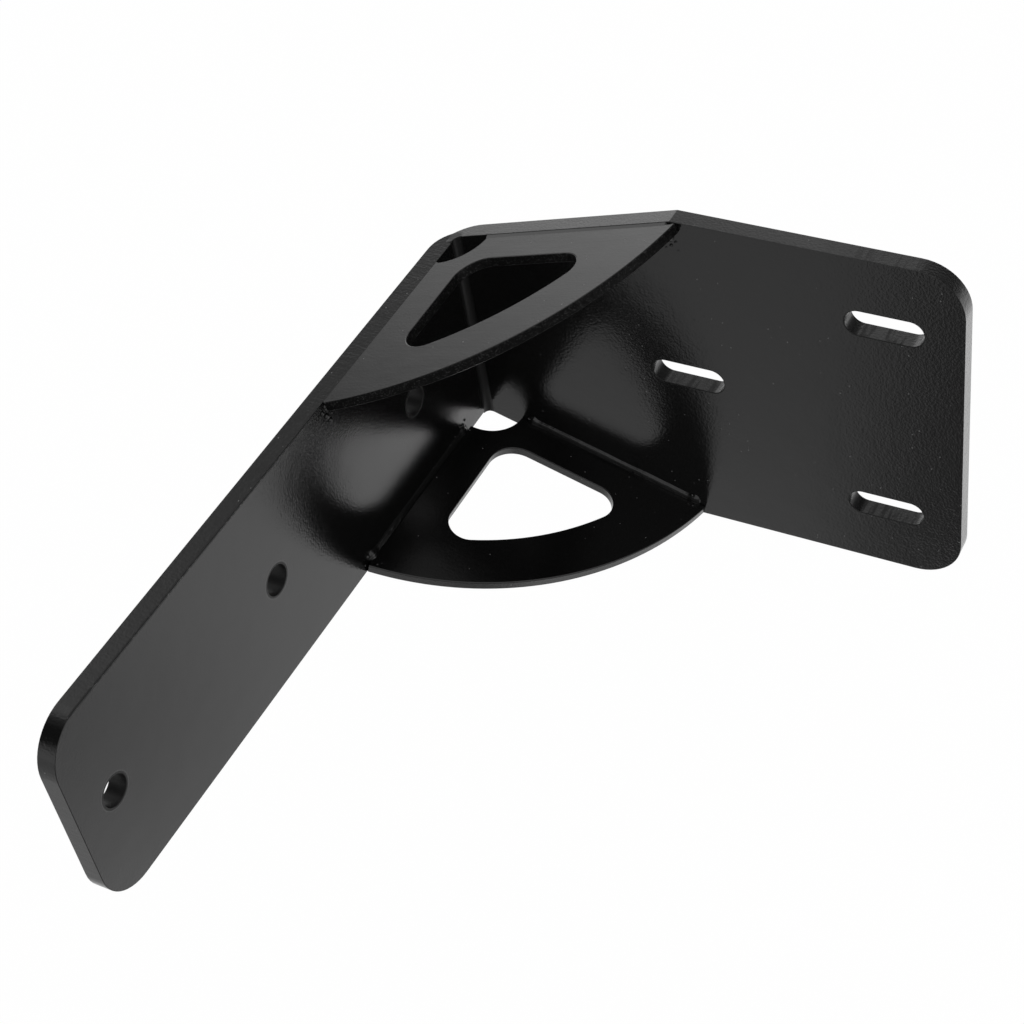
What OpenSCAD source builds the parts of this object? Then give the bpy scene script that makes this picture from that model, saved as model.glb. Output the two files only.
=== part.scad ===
// Right-angled bracket for a roll-out awning: a press-braked plate with two welded gussets.
// The flange's outer face lies on Y = 0 and the arm runs towards -Y. +Z is up.
// The origin is on the flange's outer face, on the centreline, midway between the two slot columns.
// All sizes are in millimetres.

/* [Bent plate] */
// Thickness of the bent plate
plate_t = 6.35; // [5:0.05:7]
// Length of the flange, from the arm's outer face to the free end
flange_l = 182.6; // [175:0.1:200]
// Height of the flange beyond the kink
flange_h = 127; // [120:0.5:135]
// Length of the arm, from the flange's outer face to the free end
arm_l = 240; // [225:1:300]
// Height of the arm
arm_h = 76.2; // [72:0.1:84]
// Distance from the arm's outer face to where the flange's edges begin to rise, inside the bend
rise_x = 4.2; // [2:0.1:6.3]
// Distance from the arm's outer face to the kink in the flange's edges
kink_x = 87.2; // [84:0.1:94]
// Radius of the plate's four free corners
corner_r = 15.7; // [8:0.1:18]
// Inner radius of the bend
bend_r = 2.6; // [2:0.1:5]
// Outer radius of the bend, where the press stretches and thins the plate
bend_outer_r = 14.2; // [9:0.1:14.6]

/* [Slots in the flange] */
// Length of each slot, end to end
slot_l = 25.8; // [20:0.1:30]
// Width of each slot
slot_w = 9.5; // [8:0.1:12]
// Distance from the arm's outer face to the centre of the middle slot
slot_x = 88.6; // [84:0.1:94]
// Distance from the flange's free end to the centres of the two outer slots
slot_margin = 25.7; // [22:0.1:32]
// Distance between the two outer slots
slot_dz = 77; // [66:0.5:84]

/* [Holes in the arm] */
// Diameter of each round hole
hole_d = 10.4; // [9:0.1:13]
// Pitch of the three holes
hole_pitch = 88.1; // [80:0.1:92]
// Distance from the arm's free end to the centre of the nearest hole
hole_margin = 16.6; // [14:0.1:22]

/* [Gussets] */
// Thickness of each gusset
gusset_t = 3.6; // [2.5:0.1:5]
// Radius of the curved rim
rim_r = 114; // [105:0.1:150]
// Distance from the inner corner to the rim, along the diagonal
rim_reach = 79.3; // [77:0.1:81]
// Width of the bar between the window and the rim
rim_w = 18.2; // [14:0.1:22]
// Width of the bars between the window and the two plates
bar_w = 12.8; // [10:0.1:16]
// Radius of the window's right-angled corner
window_r = 10.1; // [6:0.1:14]
// Radius of the window's two narrow corners
tip_r = 7.4; // [5:0.1:9]
// Radius of the quarter-round relief over the bend
relief_r = 13.6; // [10:0.1:16]

/* [Welds] */
// Leg of each weld bead
weld_leg = 3.4; // [2:0.1:5]
// How far each bead stops short of the gusset's ends
weld_inset = 2; // [1:0.1:4]

/* [Hidden] */
$fn = 96;
fine = 240;
coat_c = [0.03, 0.03, 0.032];
weld_c = [0.06, 0.06, 0.062];
over = 1;
slot_dx = flange_l - slot_x - slot_margin;
x_slot = -slot_dx / 2;
x_out = x_slot - slot_x;
x_in = x_out + plate_t;
x_end = x_out + flange_l;
x_rise = x_out + rise_x;
x_kink = x_out + kink_x;
taper_z = (flange_h - arm_h) / 2;
tilt = atan2(taper_z, x_kink - x_rise);
rim_c = (rim_r - rim_reach) / sqrt(2);
gusset_l = sqrt(pow(rim_r, 2) - pow(rim_c, 2)) - rim_c;
window_rim_r = rim_r - rim_w;
tip_d = bar_w + tip_r + rim_c;
tip_x = sqrt(pow(window_rim_r - tip_r, 2) - tip_d * tip_d) - rim_c;
tip_k = (window_rim_r + over) / (window_rim_r - tip_r);
weld_l = gusset_l - relief_r - 2 * weld_inset;
gap_x = gusset_t * tan(tilt);

// What a rounded corner takes off: the corner is at the origin and the plate lies towards -X and -Y
module corner_cut(r) {
    difference() {
        translate([-r, -r])
            square(r + over);
        translate([-r, -r])
            circle(r);
    }
}

// A slot with round ends along X, centred on the origin
module slot_2d() {
    square([slot_l - slot_w, slot_w], center = true);
    for (side = [-1, 1])
        translate([side * (slot_l - slot_w) / 2, 0])
            circle(d = slot_w);
}

// The L of the bent plate, seen from above
module bend_2d() {
    difference() {
        union() {
            translate([x_out, -plate_t])
                square([flange_l, plate_t]);
            translate([x_out, -arm_l])
                square([plate_t, arm_l]);
            translate([x_in, -plate_t - bend_r])
                square(bend_r);
        }
        translate([x_in + bend_r, -plate_t - bend_r])
            circle(bend_r);
        translate([x_out, 0])
            mirror([1, 0])
                corner_cut(bend_outer_r);
    }
}

// The outline of the plate, seen from the front, with the kinked edges and the three slots
module front_2d() {
    difference() {
        polygon([
            [x_out - over, -arm_h / 2],
            [x_rise, -arm_h / 2],
            [x_kink, -flange_h / 2],
            [x_end, -flange_h / 2],
            [x_end, flange_h / 2],
            [x_kink, flange_h / 2],
            [x_rise, arm_h / 2],
            [x_out - over, arm_h / 2]
        ]);
        for (side = [0, 1])
            mirror([0, side])
                translate([x_end, flange_h / 2])
                    corner_cut(corner_r);
        translate([x_slot, 0])
            slot_2d();
        for (side = [-1, 1])
            translate([x_slot + slot_dx, side * slot_dz / 2])
                slot_2d();
    }
}

// The bent plate: flange and arm in one piece
module bent_plate() {
    color(coat_c)
    difference() {
        intersection() {
            linear_extrude(flange_h + 2 * over, center = true)
                bend_2d();
            rotate([90, 0, 0])
                translate([0, 0, -over])
                    linear_extrude(arm_l + 2 * over)
                        front_2d();
        }
        for (side = [0, 1])
            mirror([0, 0, side]) {
                translate([x_out - over, -arm_l, arm_h / 2])
                    rotate([90, 0, 90])
                        linear_extrude(plate_t + 2 * over)
                            mirror([1, 0])
                                corner_cut(corner_r);
                translate([x_out - over, -arm_l - over, arm_h / 2])
                    cube([plate_t + 2 * over, arm_l + over - plate_t - bend_r, taper_z + over]);
            }
        for (i = [0, 1, 2])
            translate([x_out - over, -arm_l + hole_margin + i * hole_pitch, 0])
                rotate([0, 90, 0])
                    cylinder(h = plate_t + 2 * over, d = hole_d);
    }
}

// The sharp outline that one narrow corner of the window loses, before its round is put back
module tip_cut() {
    polygon([
        [tip_x, bar_w - over],
        [tip_x, bar_w + tip_r],
        [(tip_x + rim_c) * tip_k - rim_c, (bar_w + tip_r + rim_c) * tip_k - rim_c],
        [window_rim_r, bar_w + tip_r],
        [window_rim_r, bar_w - over]
    ]);
}

// The rounded triangular window: X runs along the flange and Y along the arm
module window_2d() {
    difference() {
        intersection() {
            translate([-rim_c, -rim_c])
                circle(window_rim_r, $fn = fine);
            translate([bar_w, bar_w])
                square(window_rim_r);
        }
        translate([bar_w, bar_w])
            mirror([1, 0])
                mirror([0, 1])
                    corner_cut(window_r);
        tip_cut();
        mirror([1, -1])
            tip_cut();
    }
    translate([tip_x, bar_w + tip_r])
        circle(tip_r);
    translate([bar_w + tip_r, tip_x])
        circle(tip_r);
}

// The gusset's flat outline, with the inner corner at the origin
module gusset_2d() {
    difference() {
        intersection() {
            translate([-rim_c, -rim_c])
                circle(rim_r, $fn = fine);
            square(rim_r);
        }
        circle(relief_r);
        window_2d();
    }
}

// Places a gusset's own axes on the upper edges of the plate: X up the kinked edge, Y along the arm
module on_upper_edge() {
    translate([x_in, -plate_t, arm_h / 2])
        rotate([0, -tilt, 0])
            mirror([0, 1, 0])
                children();
}

// One gusset, its outer face flush with the arm's edge and a hair inside the kinked edge
module gusset() {
    on_upper_edge()
        translate([0, 0, -gusset_t])
            linear_extrude(gusset_t)
                gusset_2d();
}

// A round-nosed bead along +Z that fills the corner between the +X direction and the direction at angle a
module bead(a) {
    intersection() {
        translate([0, 0, weld_leg])
            union() {
                cylinder(h = weld_l - 2 * weld_leg, r = weld_leg);
                sphere(weld_leg);
                translate([0, 0, weld_l - 2 * weld_leg])
                    sphere(weld_leg);
            }
        linear_extrude(weld_l)
            polygon([
                [0, 0],
                [2 * weld_leg, 0],
                [2 * weld_leg, 2 * weld_leg],
                [2 * weld_leg * cos(a), 2 * weld_leg * sin(a)]
            ]);
    }
}

// The bead between the flange and the underside of the upper gusset
module flange_weld() {
    on_upper_edge()
        translate([relief_r + weld_inset, 0, -gusset_t])
            rotate([0, 90, 0])
                bead(90);
}

// The bead between the arm and the underside of the upper gusset, with the weld in the open gap behind it
module arm_weld() {
    on_upper_edge()
        translate([-gap_x, relief_r + weld_inset + weld_l, -gusset_t])
            rotate([90, 0, 0])
                mirror([0, 1, 0])
                    bead(90 + tilt);
    on_upper_edge()
        translate([0, relief_r + weld_inset + weld_l, 0])
            rotate([90, 0, 0])
                linear_extrude(weld_l)
                    polygon([[0, 0], [-gap_x, -gusset_t], [0, -gusset_t]]);
}

// The two gussets
module upper_gusset() {
    color(coat_c)
        gusset();
}

module lower_gusset() {
    color(coat_c)
        mirror([0, 0, 1])
            gusset();
}

// The four weld beads
module weld_upper_arm() {
    color(weld_c)
        arm_weld();
}

module weld_upper_flange() {
    color(weld_c)
        flange_weld();
}

module weld_lower_arm() {
    color(weld_c)
        mirror([0, 0, 1])
            arm_weld();
}

module weld_lower_flange() {
    color(weld_c)
        mirror([0, 0, 1])
            flange_weld();
}

bent_plate();
upper_gusset();
lower_gusset();
weld_upper_arm();
weld_upper_flange();
weld_lower_arm();
weld_lower_flange();
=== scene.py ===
# %% [markdown]
# # A welded awning bracket
# The real object is a flat blank of 6.35 mm steel, cut by laser, folded once in a press brake, and
# stiffened by two thin plates with a window in them. Everything is then powder coated black.
# The solids come ready from the CAD frame, so this lesson is about what a coat of black powder
# does to light: it shows almost no colour of its own, and nearly all that the eye sees is gloss.

# %% Load the frame
import bpy
import bmesh
import numpy as np
from mathutils import Matrix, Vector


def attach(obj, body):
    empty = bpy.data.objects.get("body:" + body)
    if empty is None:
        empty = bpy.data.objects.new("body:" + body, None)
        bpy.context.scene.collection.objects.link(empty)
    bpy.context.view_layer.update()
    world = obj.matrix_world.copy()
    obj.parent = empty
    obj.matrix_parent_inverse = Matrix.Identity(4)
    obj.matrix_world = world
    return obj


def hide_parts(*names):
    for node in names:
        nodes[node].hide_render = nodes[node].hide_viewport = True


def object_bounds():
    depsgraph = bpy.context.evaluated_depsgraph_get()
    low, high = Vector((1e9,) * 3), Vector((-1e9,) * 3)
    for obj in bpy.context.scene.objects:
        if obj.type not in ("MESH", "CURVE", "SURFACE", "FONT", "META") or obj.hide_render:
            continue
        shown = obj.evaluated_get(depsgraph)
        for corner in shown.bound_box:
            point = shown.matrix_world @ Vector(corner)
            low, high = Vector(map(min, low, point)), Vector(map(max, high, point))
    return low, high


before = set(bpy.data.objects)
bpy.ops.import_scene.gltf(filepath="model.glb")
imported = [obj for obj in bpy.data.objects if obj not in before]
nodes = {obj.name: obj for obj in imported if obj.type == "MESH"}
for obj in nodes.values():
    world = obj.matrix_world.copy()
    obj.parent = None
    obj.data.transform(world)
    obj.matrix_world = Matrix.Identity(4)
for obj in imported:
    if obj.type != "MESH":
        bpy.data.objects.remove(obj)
cad_low, cad_high = [list(map(float, corner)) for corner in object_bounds()]
MM = 0.001
MICRON = 0.000001
print("pieces:", sorted(nodes))

# %% [markdown]
# ## Sizes that the dressing needs
# The lesson measures the solids where it can: their box gives the ends of the flange and the arm.
# What a box can't tell is named here, in millimetres and with the names of the CAD source: the plate
# and its kinks, the holes and slots, the gussets' curves, and how far a weld stops short of its ends.

# %% Named sizes
plate_t = 6.35
rise_x = 4.2
kink_x = 87.2
arm_half = 38.1
hole_d = 10.4
hole_pitch = 88.1
hole_margin = 16.6
slot_l = 25.8
slot_w = 9.5
slot_x = 88.6
slot_margin = 25.7
slot_dz = 77.0
gusset_t = 3.6
rim_r = 114.0
rim_reach = 79.3
relief_r = 13.6
weld_inset = 2.0

# %% Sizes worked out from them
x_out, x_end = cad_low[0] / MM, cad_high[0] / MM
arm_end = cad_low[1] / MM
half_h = cad_high[2] / MM
x_in = x_out + plate_t
tilt = np.arctan2(half_h - arm_half, kink_x - rise_x)
rim_c = (rim_r - rim_reach) / np.sqrt(2)
gusset_l = np.sqrt(rim_r ** 2 - rim_c ** 2) - rim_c
weld_l = gusset_l - relief_r - 2 * weld_inset
print("inner corner at x", round(x_in, 2), "gusset tilt", round(float(np.degrees(tilt)), 2), "deg")

# %% [markdown]
# ## Shader maths as plain expressions
# A node tree is arithmetic drawn as boxes. One small class holds an output socket and adds the
# Math node for each operator, so that a mask can be written as `1 - mask` and read back later.
# Every other kind of node comes from one method, which sets the node's settings first.

# %% The wire and the bench
class Wire:
    """An output socket. Arithmetic on it adds Math nodes to its tree."""

    def __init__(self, bench, socket):
        self.bench = bench
        self.socket = socket

    def math(self, operation, *values):
        return self.bench.node("ShaderNodeMath", {"operation": operation}, dict(enumerate(values)))

    def __add__(self, other):
        return self.math("ADD", self, other)

    def __radd__(self, other):
        return self.math("ADD", other, self)

    def __sub__(self, other):
        return self.math("SUBTRACT", self, other)

    def __rsub__(self, other):
        return self.math("SUBTRACT", other, self)

    def __mul__(self, other):
        return self.math("MULTIPLY", self, other)

    def __rmul__(self, other):
        return self.math("MULTIPLY", other, self)

    def __pow__(self, other):
        return self.math("POWER", self, other)

    def __abs__(self):
        return self.math("ABSOLUTE", self)

    def above(self, limit):
        """1 where the value is over the limit, and 0 elsewhere."""
        return self.math("GREATER_THAN", self, limit)

    def at_most(self, other):
        return self.math("MINIMUM", self, other)

    def at_least(self, other):
        return self.math("MAXIMUM", self, other)

    def wrapped(self, half):
        """Folds a length into the range from -half to half, over and over."""
        return self.math("WRAP", self, half, -half)

    def step(self, low, high):
        """0 below low, 1 above high, and a smooth S between them."""
        settings = {"interpolation_type": "SMOOTHSTEP", "clamp": True}
        inputs = {"Value": self, "From Min": low, "From Max": high}
        return self.bench.node("ShaderNodeMapRange", settings, inputs)

    def axes(self):
        """The three numbers of a vector."""
        split = self.bench.raw("ShaderNodeSeparateXYZ", {}, {0: self})
        return [Wire(self.bench, split.outputs[i]) for i in range(3)]

    def scaled(self, factor):
        """A vector times a number."""
        inputs = {"Vector": self, "Scale": factor}
        return self.bench.node("ShaderNodeVectorMath", {"operation": "SCALE"}, inputs)

    def times(self, vector):
        """A vector times another, axis by axis."""
        return self.bench.node("ShaderNodeVectorMath", {"operation": "MULTIPLY"}, {0: self, 1: vector})

    def dot(self, vector):
        """How far a vector goes along another one."""
        inputs = {0: self, 1: vector}
        made = self.bench.raw("ShaderNodeVectorMath", {"operation": "DOT_PRODUCT"}, inputs)
        return Wire(self.bench, made.outputs["Value"])

    def noise(self, scale, detail=2.0, rough=0.5):
        """Noise from about 0 to 1, read at this place, with scale features in each millimetre."""
        inputs = {"Vector": self, "Scale": scale, "Detail": detail, "Roughness": rough}
        return self.bench.node("ShaderNodeTexNoise", {"noise_dimensions": "3D"}, inputs)

    def colours(self, first, second):
        """The first colour where this mask is 0, and the second where it is 1."""
        inputs = {"Factor": self, 6: first, 7: second}
        made = self.bench.raw("ShaderNodeMix", {"data_type": "RGBA"}, inputs)
        return Wire(self.bench, made.outputs[2])

    def vectors(self, first, second):
        """The first vector where this mask is 0, and the second where it is 1."""
        inputs = {"Factor": self, 4: first, 5: second}
        made = self.bench.raw("ShaderNodeMix", {"data_type": "VECTOR"}, inputs)
        return Wire(self.bench, made.outputs[1])


class Bench:
    """A node tree to work on, for a material or for the world."""

    def __init__(self, owner):
        owner.use_nodes = True
        self.owner = owner
        self.tree = owner.node_tree
        self.tree.nodes.clear()

    def raw(self, kind, settings, inputs):
        """Adds a node: its settings first, then a value or a link for each socket named."""
        made = self.tree.nodes.new(kind)
        for key, value in settings.items():
            setattr(made, key, value)
        for key, value in inputs.items():
            if isinstance(value, Wire):
                self.tree.links.new(value.socket, made.inputs[key])
            else:
                made.inputs[key].default_value = value
        return made

    def node(self, kind, settings, inputs):
        """The same, as a wire from the node's first output."""
        return Wire(self, self.raw(kind, settings, inputs).outputs[0])

    def plastic(self, tone, rough, index, bump):
        """A surface that isn't metal, with its index of refraction."""
        return self.node("ShaderNodeBsdfPrincipled", {}, {
            "Base Color": tone, "Roughness": rough, "IOR": index, "Metallic": 0.0, "Normal": bump})

    def mixed(self, share, first, second):
        """The first shader where share is 0, and the second where it is 1."""
        return self.node("ShaderNodeMixShader", {}, {0: share, 1: first, 2: second})

    def finish(self, shader, kind="ShaderNodeOutputMaterial"):
        self.raw(kind, {}, {"Surface": shader})
        return self.owner


def grey(level):
    return (level, level, level, 1.0)


print("a wire knows", sorted(name for name in vars(Wire) if not name.startswith("_")))

# %% [markdown]
# ## The black powder coat
# Powder coat is a plastic skin about 80 microns thick. Its base is nearly pure black, and its gloss
# mirrors the room as a blurred picture. Three things give it life: the fine "orange peel" that the
# powder leaves as it melts, the slow waves of the plate below, and a few grains of dust.
# All of them are small bumps and small changes of roughness, so they are made as noise in
# millimetres on the object's own axes, and they stay put whichever way the bracket is seen.
# Where the charged powder can't reach, the coat is thin and dull instead: a second, duller surface
# is mixed in there.

# %% What the coat is made of
COAT_BLACK = 0.0035
# grey painted into the coat as highlights, on the plate's kinked cut edges and round the bores
PAINTED_HIGHLIGHT_GREY = 0.08
COAT_ROUGH = 0.15
COAT_INDEX = 1.5
DULL_ROUGH = 0.4
DUST_GREY = 0.14
PIT_GREY = 0.035
# heights of the bumps in microns: the peel on the arm, how much more it is on the flange, the slow
# waves, the marks of the rolling mill on a thin sheet, and a grain of dust
PEEL = 52.0
PEEL_FLANGE = 60.0
WAVE = 60.0
ROLLED = 14.0
DUST = 40.0
# what the laser leaves on a cut edge, in microns, and the dull coat's blackness and index
THICK = {"stripe": 46.0, "grain": 10.0, "black": 0.008, "index": 1.3}
THIN = {"stripe": 26.0, "grain": 70.0, "black": 0.003, "index": 1.15}
print("gloss", COAT_INDEX, "dull on the plate", THICK["index"], "dull on the sheet", THIN["index"])


# %% One coat for every part, with its cut edges
def powder_coat(name, face_of=None, across_of=None, painted_highlight_of=None, dry_of=None, peel=1.0, thin=False):
    """A black powder coat, from masks that read the place on the object in millimetres.
    face_of(place, normal) gives 1 on the sheet's faces and 0 on its cut edges. Without it nothing is
    a cut edge. across_of(place) gives the place with the sheet's thickness squeezed, so that noise
    read there runs in stripes across the cut, as a laser leaves it. painted_highlight_of(place,
    normal, cut) gives 1 where a highlight is painted into the coat as grey, and dry_of(place, cut)
    where the coat is dull. peel scales the orange peel, and thin is for the gussets' sheet, with its
    pitted cut and rolled faces."""
    look = THIN if thin else THICK
    bench = Bench(bpy.data.materials.new(name))
    where = bench.raw("ShaderNodeTexCoord", {}, {})
    place = Wire(bench, where.outputs["Object"]).scaled(1 / MM)
    normal = Wire(bench, where.outputs["Normal"])
    cut = 1 - face_of(place, normal).step(0.45, 0.85) if face_of else 0.0
    # orange peel, and the slow waves that bend the mirrored room
    on_flange = place.axes()[0].step(10.0, 60.0)
    height = place.noise(1.35) * (PEEL + PEEL_FLANGE * on_flange) * peel + place.noise(0.09, 1.0) * WAVE
    # stripes and grain of the laser cut, under the coat
    across = across_of(place) if across_of else place
    grain = place.noise(1.9, 3.0, 0.6)
    height = height + (across.noise(1.0, 2.0, 0.6) * look["stripe"] + grain * look["grain"]) * cut
    # slow clouds of roughness, and the long faint marks of the rolling mill
    rough = COAT_ROUGH + place.noise(0.03) * 0.03 - 0.015
    if thin:
        drawn = place.times((0.06, 1.0, 0.06)).noise(1.1, 2.0, 0.6)
        height = height + drawn * ROLLED * (1 - cut)
        rough = rough + cut * 0.05 + drawn * 0.05
    # dust: one possible grain in each cell, kept in two cells of five
    cells = bench.raw("ShaderNodeTexVoronoi", {"feature": "F1"}, {"Vector": place, "Scale": 0.3})
    near = Wire(bench, cells.outputs["Distance"])
    chance = Wire(bench, cells.outputs["Color"]).axes()[0]
    speck = (1 - near.step(0.03, 0.09)) * chance.above(0.6)
    height = height + speck * DUST
    rough = rough + speck * 0.2
    tone = speck.colours(grey(COAT_BLACK), grey(DUST_GREY))
    # painted highlights: grey mixed into the coat's colour where their mask gives 1
    if painted_highlight_of:
        tone = painted_highlight_of(place, normal, cut).colours(tone, grey(PAINTED_HIGHLIGHT_GREY))
    bump = bench.node("ShaderNodeBump", {}, {"Strength": 1.0, "Distance": MICRON, "Height": height})
    shader = bench.plastic(tone, rough, COAT_INDEX, bump)
    if dry_of:
        dull_tone = grey(look["black"])
        if thin:
            dull_tone = grain.step(0.53, 0.68).colours(dull_tone, grey(PIT_GREY))
        dull = bench.plastic(dull_tone, DULL_ROUGH, look["index"], bump)
        shader = bench.mixed(dry_of(place, cut), shader, dull)
    return bench.finish(shader)


weld_coat = powder_coat("coat_weld", peel=1.3)
seam_coat = powder_coat("coat_seam", peel=0.6)
print("plain coats:", weld_coat.name, seam_coat.name)

# %% [markdown]
# ## Where the plate's coat differs
# A laser leaves fine stripes across the plate's cut edges, and powder hardly reaches into a bore or
# the inside of the fold. Each such place is a mask: a number from 0 to 1, worked out from the place
# on the object. The masks use the same sizes as the holes and the slots, so they fit them exactly
# and need no painted picture.

# %% The plate's faces and cut edges
FOLD_REACH = 8.0
FOLD_SPLIT = 3.0
SQUEEZE = 0.12


def plate_face(place, normal):
    """On the flange the faces look along Y, on the arm along X, and round the fold anywhere level."""
    nx, ny = normal.axes()[:2]
    px, py = place.axes()[:2]
    on_flange = px.above(x_in + FOLD_REACH)
    on_arm = (-1 * py).above(plate_t + FOLD_REACH)
    on_fold = (1 - on_flange) * (1 - on_arm)
    level = (nx * nx + ny * ny) ** 0.5
    return abs(ny) * on_flange + abs(nx) * on_arm + level * on_fold


def arm_side(place):
    """1 on the arm and 0 on the flange, parted FOLD_SPLIT in front of the flange's inner face."""
    return (-1 * place.axes()[1]).above(plate_t + FOLD_SPLIT)


def plate_across(place):
    """Squeezes Y on the flange and X on the arm: the two directions that run through the plate."""
    return arm_side(place).vectors(place.times((1.0, SQUEEZE, 1.0)), place.times((SQUEEZE, 1.0, 1.0)))


print("the fold's faces end", FOLD_REACH, "mm from its inner corner")


# %% The way to the nearest hole and slot
def round_hole(place):
    """How far a place is outside the wall of the nearest of the three evenly spaced holes."""
    py, pz = place.axes()[1:]
    along = (py - (arm_end + hole_margin)).wrapped(hole_pitch / 2)
    return (along * along + pz * pz) ** 0.5 - hole_d / 2


def nearest_slot(place):
    """How far a place is outside the wall of the nearest slot: a slot is every point within half
    its width of a straight line. The middle slot is on z = 0 and the pair mirrors across it."""
    px, py, pz = place.axes()
    straight = (slot_l - slot_w) / 2
    found = []
    for centre, height in ((x_out + slot_x, 0.0), (x_end - slot_margin, slot_dz / 2)):
        along = (abs(px - centre) - straight).at_least(0.0)
        off = abs(pz) - height
        found.append((along * along + off * off) ** 0.5 - slot_w / 2)
    middle, outer = found
    return middle.at_most(outer)


print("holes every", hole_pitch, "mm, slots", slot_l, "by", slot_w, "mm")

# %% Where the plate's coat is dull, and where highlights are painted
# widths of the dull lips, then the distances from the fold's inner corner between which the coat
# turns glossy, and the places on the arm between which the dashes fade out, all in millimetres
BORE_LIP = 0.9
SLOT_LIP = 0.45
FOLD_DULL = (1.8, 3.2)
DASHES_FADE = (-98.0, -92.0)


def plate_dry(place, cut):
    """The coat is dull in the bores and out to BORE_LIP round them, on the slots' lips, in streaks
    on the slots' walls, on the inside of the fold, in broken dashes along the arm's free inner
    edge beyond the gusset, and in streaks round the flange's upper free corner."""
    px, py, pz = place.axes()
    on_arm = arm_side(place)
    bore = 1 - round_hole(place).step(BORE_LIP - 0.35, BORE_LIP)
    near_slot = 1 - nearest_slot(place).step(SLOT_LIP - 0.3, SLOT_LIP)
    streaked = place.times((1.0, SQUEEZE, 1.0)).noise(0.6, 2.0, 0.6).step(0.46, 0.62)
    slot = near_slot * ((1 - cut) + cut * (0.1 + 0.8 * streaked))
    from_corner = ((px - x_in) * (px - x_in) + (py + plate_t) * (py + plate_t)) ** 0.5
    fold = 0.85 * (1 - from_corner.step(*FOLD_DULL))
    inner_edge = (px - x_in).step(-0.75, -0.5) * (pz - arm_half).step(-0.8, -0.55)
    broken = place.noise(0.8, 2.0, 0.6).step(0.38, 0.46)
    dashes = inner_edge * broken * (1 - py.step(*DASHES_FADE))
    upper_corner = (pz - half_h).step(-13.0, -8.0) * px.step(8.0, 34.0)
    far_corner = cut * upper_corner * (0.3 + 0.45 * streaked)
    return (bore * on_arm + slot * (1 - on_arm) + fold + dashes + far_corner).at_most(1.0)


def plate_painted_highlights(place, normal, cut):
    """Painted highlights: grey painted on the two kinked cut edges, which look aside as well as up or
    down.
    A thin painted highlight also runs round each bore, where its dull lip ends."""
    nx, _, nz = normal.axes()
    # painted highlight on the cut edges that look this way
    kinked = (-1 * nx).step(0.2, 0.28) * abs(nz).step(0.85, 0.93) * cut
    # a thin ring of painted highlight just outside each bore's dull lip
    hole = round_hole(place)
    ring = hole.step(BORE_LIP - 0.1, BORE_LIP + 0.05) * (1 - hole.step(BORE_LIP + 0.1, BORE_LIP + 0.3))
    return 0.43 * kinked + 0.4 * ring * arm_side(place)


plate_coat = powder_coat("coat_bent_plate", plate_face, plate_across, plate_painted_highlights, plate_dry)
print("material", plate_coat.name, "nodes", len(plate_coat.node_tree.nodes))

# %% [markdown]
# ## The gussets' coat
# The gussets are cut from thinner sheet. Their faces show the long marks of the rolling mill, and
# their cut is pitted, and dull as well on the upper one. They lie tilted in the bracket, so no axis
# is square to their faces: the normal's dot product with the sheet's own direction tells face from
# edge.

# %% The gussets: the same coat over a rougher cut
def gusset_coat(name, side):
    """side is 1 for the upper gusset and -1 for the lower one, which is its mirror image."""
    face = (-np.sin(tilt), 0.0, side * np.cos(tilt))

    def sheet_face(place, normal):
        return abs(normal.dot(face))

    def sheet_across(place):
        return place.times((1.0, 1.0, SQUEEZE))

    def sheet_dry(place, cut):
        patchy = place.noise(0.9, 3.0, 0.7).step(0.35, 0.6)
        return cut * (0.8 + 0.2 * patchy)

    dry_of = sheet_dry if side > 0 else None
    return powder_coat(name, sheet_face, sheet_across, dry_of=dry_of, peel=0.5, thin=True)


upper_coat = gusset_coat("coat_upper_gusset", 1)
lower_coat = gusset_coat("coat_lower_gusset", -1)
print("materials", upper_coat.name, lower_coat.name)

# %% [markdown]
# ## Soft edges on the solids
# No real edge is sharp: the coat rounds it to a few tenths of a millimetre, and that round catches
# the light as a thin line. The CAD solids come as loose triangles, so modifiers work in turn.
# Weld joins the triangles, Decimate turns each flat face into one face again, a Geometry Nodes
# group marks them smooth, and Bevel rounds every edge that is sharper than the facets of the
# bend. The last, Weighted Normal, lets the flat faces keep one even shading up to their rounded
# edges. The solid itself isn't touched.

# %% The modifiers that round an edge
FLAT_ANGLE = 0.01
EDGE_ANGLE = 0.2


def smooth_group():
    """A Geometry Nodes group that passes its mesh on with every face marked smooth."""
    group = bpy.data.node_groups.new("Mark smooth", "GeometryNodeTree")
    for way in ("INPUT", "OUTPUT"):
        group.interface.new_socket("Geometry", in_out=way, socket_type="NodeSocketGeometry")
    taken = group.nodes.new("NodeGroupInput")
    marked = group.nodes.new("GeometryNodeSetShadeSmooth")
    given = group.nodes.new("NodeGroupOutput")
    group.links.new(taken.outputs[0], marked.inputs["Geometry"])
    group.links.new(marked.outputs["Geometry"], given.inputs[0])
    return group


mark_smooth = smooth_group()


def soften(node, width):
    """Rounds every edge that turns by more than EDGE_ANGLE, in radians, by width in millimetres."""
    join = node.modifiers.new("Join triangles", "WELD")
    join.merge_threshold = MICRON
    flat = node.modifiers.new("Flat faces", "DECIMATE")
    flat.decimate_type = "DISSOLVE"
    flat.angle_limit = FLAT_ANGLE
    marked = node.modifiers.new("Mark smooth", "NODES")
    marked.node_group = mark_smooth
    round_off = node.modifiers.new("Round edges", "BEVEL")
    round_off.width = width * MM
    round_off.segments = 3
    round_off.limit_method = "ANGLE"
    round_off.angle_limit = EDGE_ANGLE
    round_off.face_strength_mode = "FSTR_ALL"
    shade = node.modifiers.new("Flat faces stay flat", "WEIGHTED_NORMAL")
    shade.use_face_influence = True


print("group", mark_smooth.name, "nodes", len(mark_smooth.nodes))

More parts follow.
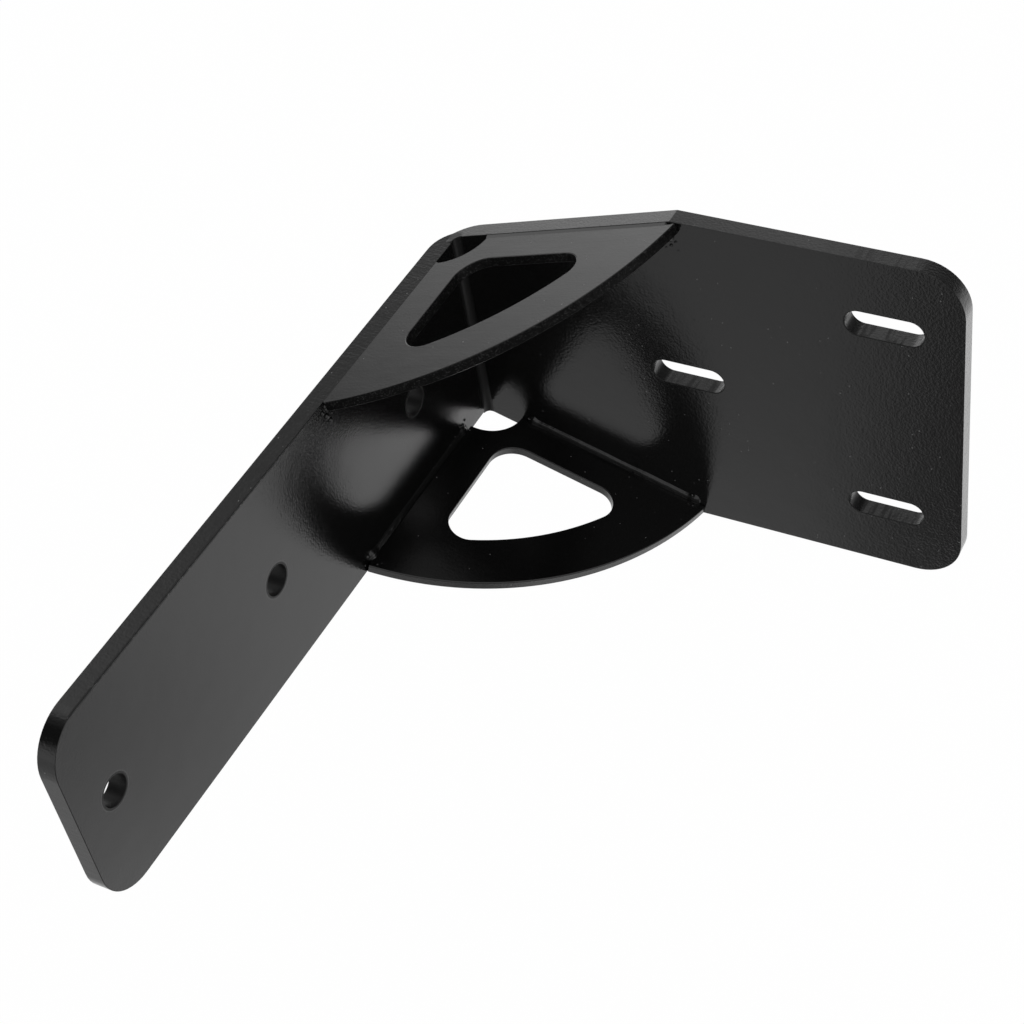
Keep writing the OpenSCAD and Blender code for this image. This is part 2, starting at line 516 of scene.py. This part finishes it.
# %% Round the edges and give the solids their coat
PLATE_ROUND = 0.6
GUSSET_ROUND = 0.45
dressed = {
    "bent_plate": (plate_coat, PLATE_ROUND),
    "upper_gusset": (upper_coat, GUSSET_ROUND),
    "lower_gusset": (lower_coat, GUSSET_ROUND)}
for name, (coat, width) in dressed.items():
    soften(nodes[name], width)
    nodes[name].data.materials.clear()
    nodes[name].data.materials.append(coat)
    print(name, "edges rounded by", width, "mm")

# %% [markdown]
# ## The welds
# A fillet weld is a bead of molten wire laid in the corner of two plates. It starts with a lump,
# its width wanders, and it ends where the welder lingered, with a bigger lump.
# A bead is a profile carried along a line: an outer skin that runs from one plate to the gusset,
# closed by one line of points behind it, inside the metal. Its size swells and shrinks with random
# lumps and falls to a point at both ends, so the whole is one closed skin.

# %% Closed skins put together as one piece
def skin(points):
    """A closed tube from rings of points, of shape (rings, around, 3), with quads between the rings.
    A tube whose end rings have shrunk to a point closes there once its doubles are merged. Other
    tubes stay open at their ends."""
    rings, around = points.shape[:2]
    row = np.arange(rings - 1)[:, None] * around
    col = np.arange(around)[None, :]
    after = (col + 1) % around
    corners = [row + col, row + after, row + around + after, row + around + col]
    return points.reshape(-1, 3), np.stack(corners, -1).reshape(-1, 4)


def build(name, skins, material, smooth=True):
    """Puts closed skins into one mesh. Points that meet are merged, which closes the ends of each
    tube, and the normals are then turned outwards."""
    verts = []
    quads = []
    start = 0
    for skin_verts, skin_quads in skins:
        verts.append(skin_verts)
        quads += (skin_quads + start).tolist()
        start += len(skin_verts)
    mesh = bpy.data.meshes.new(name)
    mesh.from_pydata(np.concatenate(verts).tolist(), [], quads)
    work = bmesh.new()
    work.from_mesh(mesh)
    bmesh.ops.remove_doubles(work, verts=work.verts, dist=MICRON / 2)
    bmesh.ops.recalc_face_normals(work, faces=work.faces)
    work.to_mesh(mesh)
    work.free()
    if smooth:
        mesh.shade_smooth()
    mesh.materials.append(material)
    piece = bpy.data.objects.new(name, mesh)
    bpy.context.scene.collection.objects.link(piece)
    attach(piece, "root")
    return piece


print("a tube of 3 rings of 4 points has", len(skin(np.zeros((3, 4, 3)))[1]), "quads")


# %% A gusset's own axes
def gusset_point(u, v, w, side):
    """From a gusset's own axes to the bracket's: u up the kinked edge, v along the arm, w out of
    the face that is flush with the plate's edges. side -1 mirrors it to the lower gusset."""
    u, v, w = np.broadcast_arrays(np.asarray(u, float), np.asarray(v, float), np.asarray(w, float))
    x = x_in + u * np.cos(tilt) - w * np.sin(tilt)
    z = arm_half + u * np.sin(tilt) + w * np.cos(tilt)
    return np.stack([x, -plate_t - v, side * z], -1) * MM


print("the upper gusset's far corner is at", np.round(gusset_point(gusset_l, 0, 0, 1), 4).tolist())


# %% The bead's shape
def lumps(along, angle, seed, count, width, height):
    """The sum of count round bumps exp(-r * r / width / width), at random places on the bead's skin
    and of random heights up to height, all drawn from the seed. Angles count 3 mm to the radian."""
    dice = np.random.default_rng(seed)
    spots = dice.uniform((0.0, 0.0, 0.3), (weld_l, 1.9, 1.0), (count, 3))
    total = 0.0
    for where, turned, size in spots:
        apart = ((along - where) ** 2 + (3.0 * (angle - turned)) ** 2) / width ** 2
        total = total + size * height * np.exp(-apart)
    return total


def bead(seed, opening, profile, roughness, end_lump):
    """A bead as (along, out, up) in millimetres: along the seam, out along the plate away from the
    gusset, and up along the gusset away from the plate. out = radius * cos(angle) and
    up = radius * sin(angle), so angle 0 lies on the plate and the opening angle on the gusset.
    The radius is read from the profile, a list of (share of the opening angle, radius), on straight
    lines between its points, and then smoothed. It is multiplied by 1 + broad lumps + fine lumps,
    and by 1 + first + last, two bumps exp(-d * d) near the ends, of which end_lump is the last
    one's height. At both ends it falls to nothing as a quarter ellipse does."""
    rings, around = 240, 40
    along = np.linspace(0.0, weld_l, rings)
    angle = np.linspace(-0.25, opening + 0.15, around)
    a = along[:, None]
    q = angle[None, :]
    shares, radii = np.array(profile).T
    spread = np.linspace(-0.05, 0.05, 9)[:, None]
    body = np.interp(q / opening + spread, shares, radii).mean(0)[None, :]
    broad = lumps(a, q, seed, count=14, width=5.0, height=0.06)
    fine = lumps(a, q, seed + 1, count=110, width=0.9, height=0.16)
    first = 0.3 * np.exp(-((a - 2.4) / 1.3) ** 2)
    last = end_lump * np.exp(-((a - weld_l + 2.6) / 1.9) ** 2)
    near_end = np.clip(np.minimum(a, weld_l - a) / 2.2, 0, 1)
    fall = np.sqrt(1 - (1 - near_end) ** 2)
    radius = body * (1 + broad + roughness * fine) * (1 + first + last) * fall
    ring = np.stack([np.broadcast_to(a, radius.shape), radius * np.cos(q), radius * np.sin(q)], -1)
    root = -0.6 * fall[:, 0]
    back = np.stack([along, root, root], -1)[:, None, :]
    return np.concatenate([ring, back], 1)


def seam(points, which, side):
    """Lays a bead in its corner: on the gusset's inner face, against the flange or against the arm."""
    along, out, up = points[..., 0], points[..., 1], points[..., 2]
    start = relief_r + weld_inset
    w = -gusset_t - out
    if which == "flange":
        return gusset_point(start + along, up, w, side)
    return gusset_point(up - gusset_t * np.tan(tilt), start + along, w, side)


print("beads are", round(float(weld_l), 2), "mm long")

# %% The four beads
# The arm's beads are hollow. The flange's are a narrow ledge over a nearly upright face: of the
# profiles tried, this one puts a single line of light nearest to where the real bead has it. It is
# leaner than the CAD weld, whose legs are 3.4 mm.
ledge = [(-0.06, 2.7), (0.0, 2.37), (0.058, 2.21), (0.14, 2.05), (0.21, 1.85), (0.36, 1.42), (0.62, 1.07),
         (1.0, 1.0), (1.17, 1.1)]
hollow = [(-0.2, 1.9), (0.0, 1.4), (0.3, 0.9), (0.7, 0.9), (1.0, 1.3), (1.12, 1.6)]
beads = {
    "flange": {"opening": np.pi / 2, "profile": ledge, "roughness": 0.12, "end_lump": 0.35},
    "arm": {"opening": np.pi / 2 + tilt, "profile": hollow, "roughness": 0.3, "end_lump": 0.5}}
for side, level, seed in ((1, "upper", 11), (-1, "lower", 5)):
    for which, shape in beads.items():
        placed = seam(bead(seed, **shape), which, side)
        piece = build(f"bead_{level}_{which}", [skin(placed)], weld_coat)
        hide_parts(f"weld_{level}_{which}")
        print(piece.name, len(piece.data.polygons), "faces")

# %% [markdown]
# ## Coat in the seams, and spatter
# On the outer side there is no weld: the coat has run into the seam between gusset and plate and
# filled it. A strip with a small flat section is carried along each seam, so no black gap shows.
# Round the ends of the welds sit drops of metal that the arc threw out. Each is a squashed ball,
# sunk a little into what it sticks to.

# %% The filled seams
STRIP_INSET = {"flange": 3.0, "arm": 0.5}
STRIP_TAPER = 0.5


def strip(section, which, side):
    """A closed strip: the section, a loop of (across, out) pairs, carried along a seam. Across is
    measured from the plate's inner face along the gusset, and out from the gusset's outer face.
    At both ends the section shrinks to its middle over STRIP_TAPER."""
    loop = np.array(section)
    last = gusset_l - STRIP_INSET[which]
    along = np.array([relief_r - STRIP_TAPER, relief_r, last - STRIP_TAPER, last])
    size = np.array([0.0, 1.0, 1.0, 0.0])[:, None]
    middle = loop.mean(0)
    across = middle[0] + (loop[None, :, 0] - middle[0]) * size
    out = middle[1] + (loop[None, :, 1] - middle[1]) * size
    run = np.broadcast_to(along[:, None], across.shape)
    if which == "flange":
        return gusset_point(run, across, out, side)
    return gusset_point(across, run, out, side)


sections = {
    "flange": [(-0.5, 0.59), (1.2, -0.01), (1.0, -0.4), (-0.5, -0.4)],
    "arm": [(-0.9, 0.9 * np.tan(tilt) - 0.02), (0.0, -0.01), (0.8, -0.01), (0.5, -0.5), (-0.7, -0.4)]}
strips = [skin(strip(section, which, side)) for which, section in sections.items() for side in (1, -1)]
filled = build("filled_seams", strips, seam_coat, smooth=False)
print(filled.name, len(filled.data.polygons), "faces")


# %% The spatter
def drop(centre, normal, radius):
    """A ball of the given radius, pressed to 0.7 of its height along the normal. Its points are
    centre + radius * (cos(a) sin(b), sin(a) sin(b), 0.7 cos(b)) in axes where the normal is up,
    and the whole is lifted by 0.15 of the radius."""
    up = np.asarray(normal, float)
    side_way = np.cross(up, (0.3, 0.5, 0.8))
    side_way = side_way / np.linalg.norm(side_way)
    third = np.cross(up, side_way)
    b = np.linspace(0.0, np.pi, 8)[:, None, None]
    a = np.linspace(0.0, 2 * np.pi, 12, endpoint=False)[None, :, None]
    ball = np.cos(a) * np.sin(b) * side_way + np.sin(a) * np.sin(b) * third + 0.7 * np.cos(b) * up
    return (np.asarray(centre, float) + 0.15 * radius * up + radius * ball) * MM


# drops on the arm as (y, z, radius), on the flange as (x, z, radius), and on the inner face of the
# lower gusset as (u, v, radius) on its own axes
spatter_arm = [
    (-92.3, 36.0, 1.3), (-94.6, 34.8, 0.8), (-92.9, 32.2, 1.1), (-91.6, 29.6, 1.0), (-96.0, 34.6, 0.5),
    (-90.2, 31.5, 0.5), (-91.0, -32.9, 0.95), (-89.3, -34.2, 0.7), (-93.2, -34.9, 0.4),
    (-95.7, -34.1, 0.3), (-25.2, -31.2, 0.7), (-23.4, -32.0, 0.8), (-21.6, -31.0, 0.5),
    (-29.2, -32.4, 0.45), (-33.2, -33.0, 0.5), (-45.4, -32.9, 0.4)]
spatter_flange = [
    (-35.2, 57.4, 0.8), (-33.9, 55.9, 0.5), (-35.6, 54.2, 0.6), (-37.4, 53.0, 0.35), (-33.3, 52.6, 0.3),
    (-93.1, -32.9, 0.4), (-36.1, -49.8, 0.3)]
spatter_gusset = [
    (58.0, 3.2, 0.45), (60.6, 6.9, 0.3), (72.5, 12.3, 0.3), (81.6, 10.0, 0.3), (82.6, 2.2, 0.5),
    (80.9, 2.4, 0.35), (2.4, 84.6, 0.5), (3.4, 83.4, 0.3)]
gusset_up = (np.sin(tilt), 0, np.cos(tilt))
drops = [drop((x_in, y, z), (1, 0, 0), r) for y, z, r in spatter_arm]
drops += [drop((x, -plate_t, z), (0, -1, 0), r) for x, z, r in spatter_flange]
drops += [drop(gusset_point(u, v, -gusset_t, -1) / MM, gusset_up, r) for u, v, r in spatter_gusset]
spatter = build("weld_spatter", [skin(points) for points in drops], weld_coat)
print(spatter.name, len(drops), "drops")

# %% [markdown]
# ## The studio
# A product photograph of black gloss is a photograph of the room around it. The bracket stands
# free over a pale floor in a white tent. The walls aren't even: they are brighter behind the
# bracket and dimmer where no lamp reaches, and that is what tells its flat faces apart.
# The camera sees the floor and the tent as plain white, and only the coat mirrors their patches.
# The patches were placed by trial, until the tones on the bracket came near to the real one's.

# %% The floor's patches
# the floor's height in millimetres and half its width in metres
FLOOR_Z = -300.0
FLOOR_HALF = 3.0
FLOOR_LEVEL = 0.66
FLOOR_WHITE = 1.02
FLOOR_PAINT = 0.92
CAMERA_GLOW = 0.94
DARK_LEVEL = 0.2
# change of level, centre x and y, and the radii where a round patch begins and ends to fade
FLOOR_SPOTS = [(0.30, 15.0, -130.0, 10.0, 70.0), (-0.22, 135.0, -30.0, 10.0, 110.0),
               (-0.5, 218.0, -60.0, 20.0, 70.0)]


def floor_level(place):
    """What the coat mirrors below the bracket: white right under it and behind it, greyer towards
    the camera, and nearly black to the right of a line that leads away from its front."""
    px, py = place.axes()[:2]
    level = FLOOR_LEVEL + 0.32 * py.step(-330.0, -60.0) + 0.42 * py.step(150.0, 300.0)
    for change, x, y, inner, outer in FLOOR_SPOTS:
        dx = px - x
        dy = py - y
        level = level + change * (1 - ((dx * dx + dy * dy) ** 0.5).step(inner, outer))
    # the edge of the dark side runs through (-60, -230) towards (-130, -411)
    beyond = (px + 60.0) * 0.98 - (py + 230.0) * 0.20
    reach = py - 60.0 * px.step(80.0, 120.0) * (1 - px.step(170.0, 230.0))
    dark = beyond.step(-38.0, 35.0) * (1 - reach.step(-205.0, -150.0))
    return level * (1 - dark) + DARK_LEVEL * dark


print("floor patches", len(FLOOR_SPOTS))


# %% The floor
def floor_material():
    """Paint that glows: the camera and the mirroring coat see nearly only the glow, and the light
    that the floor scatters comes from the paint."""
    bench = Bench(bpy.data.materials.new("studio_floor"))
    where = bench.raw("ShaderNodeTexCoord", {}, {})
    place = Wire(bench, where.outputs["Object"]).scaled(1 / MM)
    ray = bench.raw("ShaderNodeLightPath", {}, {})
    camera = Wire(bench, ray.outputs["Is Camera Ray"])
    glossy = Wire(bench, ray.outputs["Is Glossy Ray"])
    strength = camera * FLOOR_WHITE + (1 - camera) * floor_level(place)
    paint = bench.node("ShaderNodeBsdfDiffuse", {}, {"Color": grey(FLOOR_PAINT)})
    glow = bench.node("ShaderNodeEmission", {}, {"Color": grey(1.0), "Strength": strength})
    share = (camera * CAMERA_GLOW + glossy).at_most(1.0)
    return bench.finish(bench.mixed(share, paint, glow))


corners = np.array([(-1, -1), (1, -1), (1, 1), (-1, 1)]) * FLOOR_HALF
floor_mesh = bpy.data.meshes.new("floor")
floor_mesh.from_pydata([(x, y, FLOOR_Z * MM) for x, y in corners], [], [(0, 1, 2, 3)])
floor_mesh.materials.append(floor_material())
floor = bpy.data.objects.new("floor", floor_mesh)
bpy.context.scene.collection.objects.link(floor)
print("floor at", FLOOR_Z, "mm")

# %% The tent
TENT_LEVEL = 0.88
TENT_DARKEST = 0.05
# change of level, azimuth, elevation and half width of each soft patch, the last three in degrees
TENT_PATCHES = [(0.62, 126, 14, 22), (-0.72, 150, 15, 20), (-0.5, 127, 42, 14), (0.2, 114, 38, 14),
                (-0.75, -143, 50, 32), (-0.75, 40, 24, 34), (-0.3, 60, 46, 20), (-0.7, -119, 38, 30),
                (-0.6, 82, 54, 24), (0.7, 168, 36, 18)]


def tent_lobe(direction, azimuth, elevation, width):
    """A soft patch of the tent's wall: 1 at its centre, falling to 0 at width degrees from it."""
    az, el = np.radians(azimuth), np.radians(elevation)
    centre = (float(np.cos(el) * np.cos(az)), float(np.cos(el) * np.sin(az)), float(np.sin(el)))
    return direction.dot(centre).step(float(np.cos(np.radians(width))), 1.0)


def tent():
    """The world: white for the camera, and a wall with soft patches for every other ray."""
    world = bpy.context.scene.world or bpy.data.worlds.new("tent")
    bpy.context.scene.world = world
    bench = Bench(world)
    where = bench.raw("ShaderNodeTexCoord", {}, {})
    direction = Wire(bench, where.outputs["Generated"])
    level = TENT_LEVEL
    for change, azimuth, elevation, width in TENT_PATCHES:
        level = level + change * tent_lobe(direction, azimuth, elevation, width)
    ray = bench.raw("ShaderNodeLightPath", {}, {})
    camera = Wire(bench, ray.outputs["Is Camera Ray"])
    strength = camera + (1 - camera) * level.at_least(TENT_DARKEST)
    glow = bench.node("ShaderNodeBackground", {}, {"Color": grey(1.0), "Strength": strength})
    bench.finish(glow, "ShaderNodeOutputWorld")
    return world


lit = tent()
bpy.context.scene.view_settings.view_transform = "Standard"
print("tent", lit.name, "patches", len(TENT_PATCHES))

# %% [markdown]
# ## The camera
# The view looks down on the bracket from in front and from the right, a little rolled, with a
# short telephoto lens. Three unit vectors say how it is turned: to the right, down and ahead. A
# camera's own axes point to the right, up and backwards, so the last two are reversed.

# %% The photograph's view
right = np.array([0.87834, 0.45901, -0.13353])
down = np.array([0.23997, -0.66495, -0.70729])
ahead = np.array([-0.41344, 0.58920, -0.69420])
eye = np.array([211.09, -470.20, 455.88]) * MM
lens = bpy.data.cameras.new("camera")
lens.lens = 73.434
lens.sensor_width = 36.0
lens.clip_start = 0.01
lens.clip_end = 50.0
turn = np.eye(4)
turn[:3] = np.column_stack([right, -down, -ahead, eye])
camera = bpy.data.objects.new("camera", lens)
camera.matrix_world = Matrix(turn.tolist())
bpy.context.scene.collection.objects.link(camera)
bpy.context.scene.camera = camera
print("camera at", np.round(eye, 3).tolist())

# %% Sizes
print("cad box", cad_low, cad_high)
